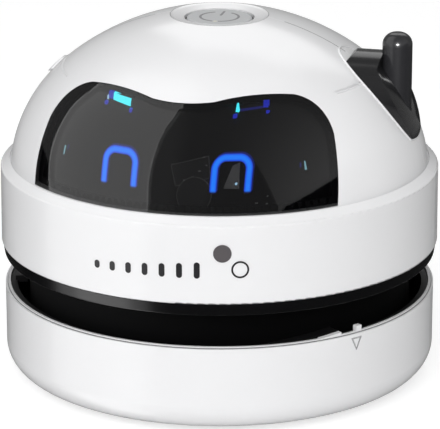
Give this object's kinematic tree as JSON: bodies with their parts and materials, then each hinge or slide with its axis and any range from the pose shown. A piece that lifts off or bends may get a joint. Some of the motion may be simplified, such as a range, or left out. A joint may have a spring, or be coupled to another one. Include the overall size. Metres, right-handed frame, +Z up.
{
  "type": "desktop mini vacuum cleaner",
  "caption": "Small battery desk vacuum: a domed white body with a smoked visor, a push button on top, a side antenna and a twist-off dust bowl with a brushed suction inlet.",
  "frame": {"origin": "on the desk under the middle of the round body, at the underside of the rubber pads", "axes": "+Z up along the body's middle axis, -Y towards the visor, +X towards the antenna"},
  "size_m": [0.088, 0.088, 0.0729],
  "materials": {
    "white_gloss": "polished white ABS",
    "grey_satin": "satin light grey ABS",
    "black_gloss": "polished black ABS",
    "smoked_lens": "polished smoked acrylic",
    "black_matte": "fine-grained black ABS",
    "black_rubber": "matte black rubber",
    "clear_guide": "frosted clear light guide, lit blue",
    "circuit_board": "green solder mask",
    "chip_white": "white LED package",
    "steel": "zinc-plated steel",
    "motor_steel": "drawn steel can",
    "magnet": "ferrite",
    "copper": "wound copper and iron",
    "cell_sleeve": "shrink sleeve",
    "filter_cloth": "white non-woven fleece",
    "bristle": "nylon bristle"
  },
  "bodies": {
    "housing": {"dome_front_shell": "white_gloss", "dome_rear_shell": "white_gloss", "body_ring": "white_gloss", "button_bezel": "white_gloss", "switch_body": "black_matte", "main_board": "circuit_board", "board_screws": "steel", "housing_screws": "steel", "visor_lens": "smoked_lens", "visor_gasket": "black_rubber", "eye_mask": "black_matte", "eye_guide_left": "clear_guide", "eye_guide_right": "clear_guide", "status_bars": "clear_guide", "light_board": "circuit_board", "light_chips": "chip_white", "antenna_base": "black_gloss", "antenna_stem": "black_gloss", "left_ear_cap": "white_gloss", "waist_housing": "black_gloss", "fan_shroud": "black_matte", "shroud_screws": "steel", "motor_can": "motor_steel", "motor_end_cap": "black_matte", "motor_magnets": "magnet", "motor_damper": "black_rubber", "motor_cradle": "black_matte", "motor_screws": "steel", "battery_cell": "cell_sleeve", "battery_tray": "black_matte", "battery_contacts": "steel", "charge_socket": "motor_steel", "charge_board": "circuit_board"},
    "button": {"power_button": "grey_satin"},
    "plunger": {"switch_plunger": "black_matte"},
    "rotor": {"motor_shaft": "steel", "motor_armature": "copper", "impeller": "grey_satin"},
    "filter": {"filter_frame": "black_matte", "filter_fleece": "filter_cloth"},
    "bowl": {"dust_bowl": "white_gloss", "inlet_tube": "white_gloss", "bowl_liner": "black_matte", "bowl_seal": "black_rubber", "brush_holder": "black_matte", "brush_bristles": "bristle", "glide_pads": "black_rubber"}
  },
  "joints": [
    {"name": "button_press", "type": "slide", "parent": "housing", "child": "button", "axis": [0, 0, -1], "range_m": [0, 0.0012], "stiffness_N_per_m": 1200, "springref_m": -0.0008},
    {"name": "plunger_press", "type": "slide", "parent": "housing", "child": "plunger", "axis": [0, 0, -1], "range_m": [0, 0.0012]},
    {"name": "rotor_spin", "type": "hinge", "parent": "housing", "child": "rotor", "pos_m": [0, 0, 0.03], "axis": [0, 0, 1], "continuous": true},
    {"name": "filter_drop", "type": "slide", "parent": "housing", "child": "filter", "axis": [0, 0, -1], "range_m": [0, 0.003]},
    {"name": "bowl_twist", "type": "hinge", "parent": "filter", "child": "bowl", "pos_m": [0, 0, 0.01], "axis": [0, 0, -1], "range_deg": [0, 40]}
  ],
  "couplings": [
    {"joint": "plunger_press", "follows": "button_press", "ratio": 1},
    {"joint": "filter_drop", "follows": "bowl_twist", "m_per_rad": 0.004297}
  ]
}
